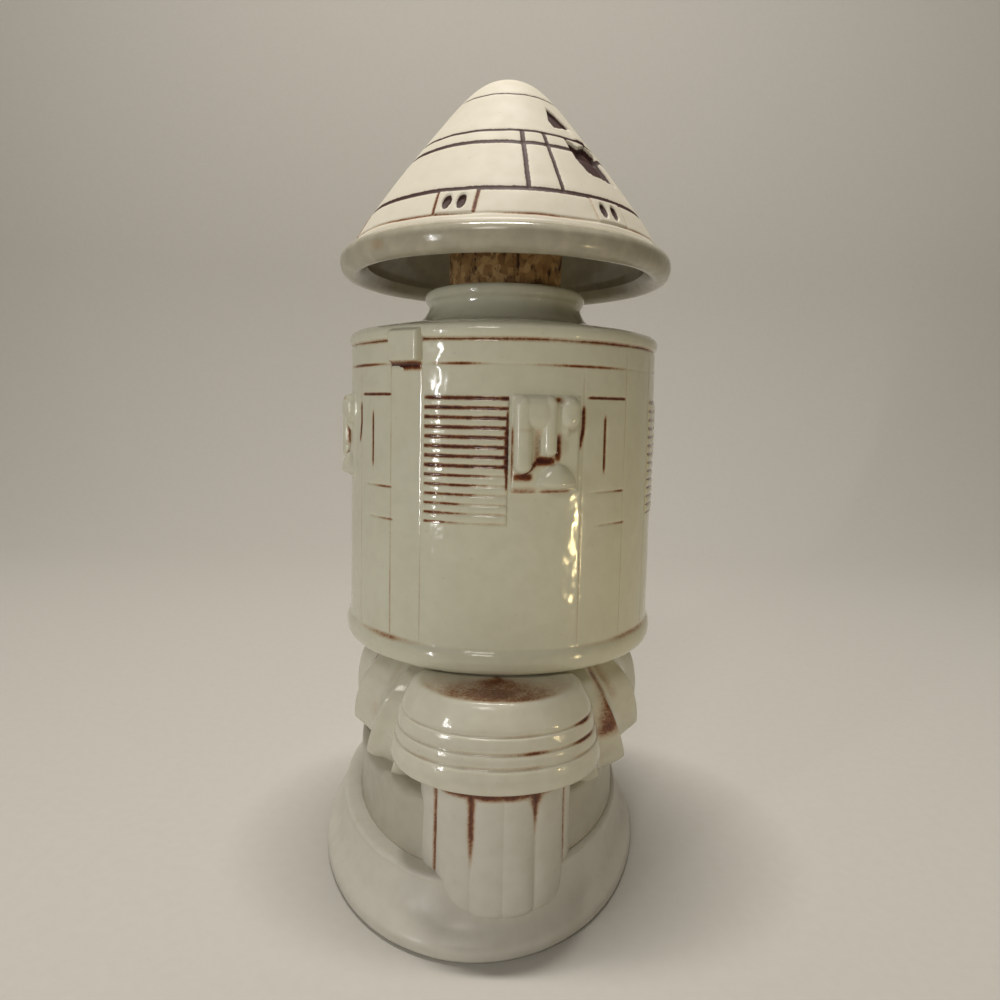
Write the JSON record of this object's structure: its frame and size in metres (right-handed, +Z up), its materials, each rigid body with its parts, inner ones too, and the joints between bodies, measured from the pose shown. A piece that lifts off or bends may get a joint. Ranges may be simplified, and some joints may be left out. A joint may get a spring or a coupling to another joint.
{
  "type": "figural liquor decanter",
  "caption": "Glazed ceramic decanter in the form of a space capsule: corked cone stopper, cylindrical vessel with relief panels, oval pedestal of ringed capitals, columns and pleated fans.",
  "frame": {"origin": "centre of the foot's underside, on the vessel's axis, on the surface the decanter stands on", "axes": "+Z up along the vessel's axis to the stopper's tip, -Y towards the narrow end that faces the viewer, +X to the viewer's right"},
  "size_m": [0.1172, 0.162, 0.2705],
  "materials": {
    "glazed_base": "glossy clear glaze on ivory earthenware, brown stain in the grooves",
    "glazed_vessel": "glossy clear glaze on ivory earthenware, brown stain in the lines",
    "satin_cone": "satin ivory glaze with dark brown painted lines",
    "cork": "natural cork with dark pores"
  },
  "bodies": {
    "decanter": {"foot_plinth": "glazed_base", "plinth_drum": "glazed_base", "pedestal_core": "glazed_base", "pleated_fan_left": "glazed_base", "pleated_fan_right": "glazed_base", "bell_capital_front": "glazed_base", "bell_capital_rear": "glazed_base", "fluted_column_front": "glazed_base", "fluted_column_rear": "glazed_base", "vessel_body": "glazed_vessel", "shoulder_neck": "glazed_vessel", "top_block": "glazed_vessel", "ribbed_panel_1": "glazed_vessel", "ribbed_panel_2": "glazed_vessel", "ribbed_panel_3": "glazed_vessel", "ribbed_panel_4": "glazed_vessel", "thruster_quad_1": "glazed_vessel", "thruster_quad_2": "glazed_vessel", "thruster_quad_3": "glazed_vessel", "thruster_quad_4": "glazed_vessel"},
    "stopper": {"stopper_cone": "satin_cone", "stopper_cork": "cork"}
  },
  "joints": [
    {"name": "stopper_lift", "type": "slide", "parent": "decanter", "child": "stopper", "axis": [0, 0, 1], "range_m": [0, 0.06]}
  ]
}
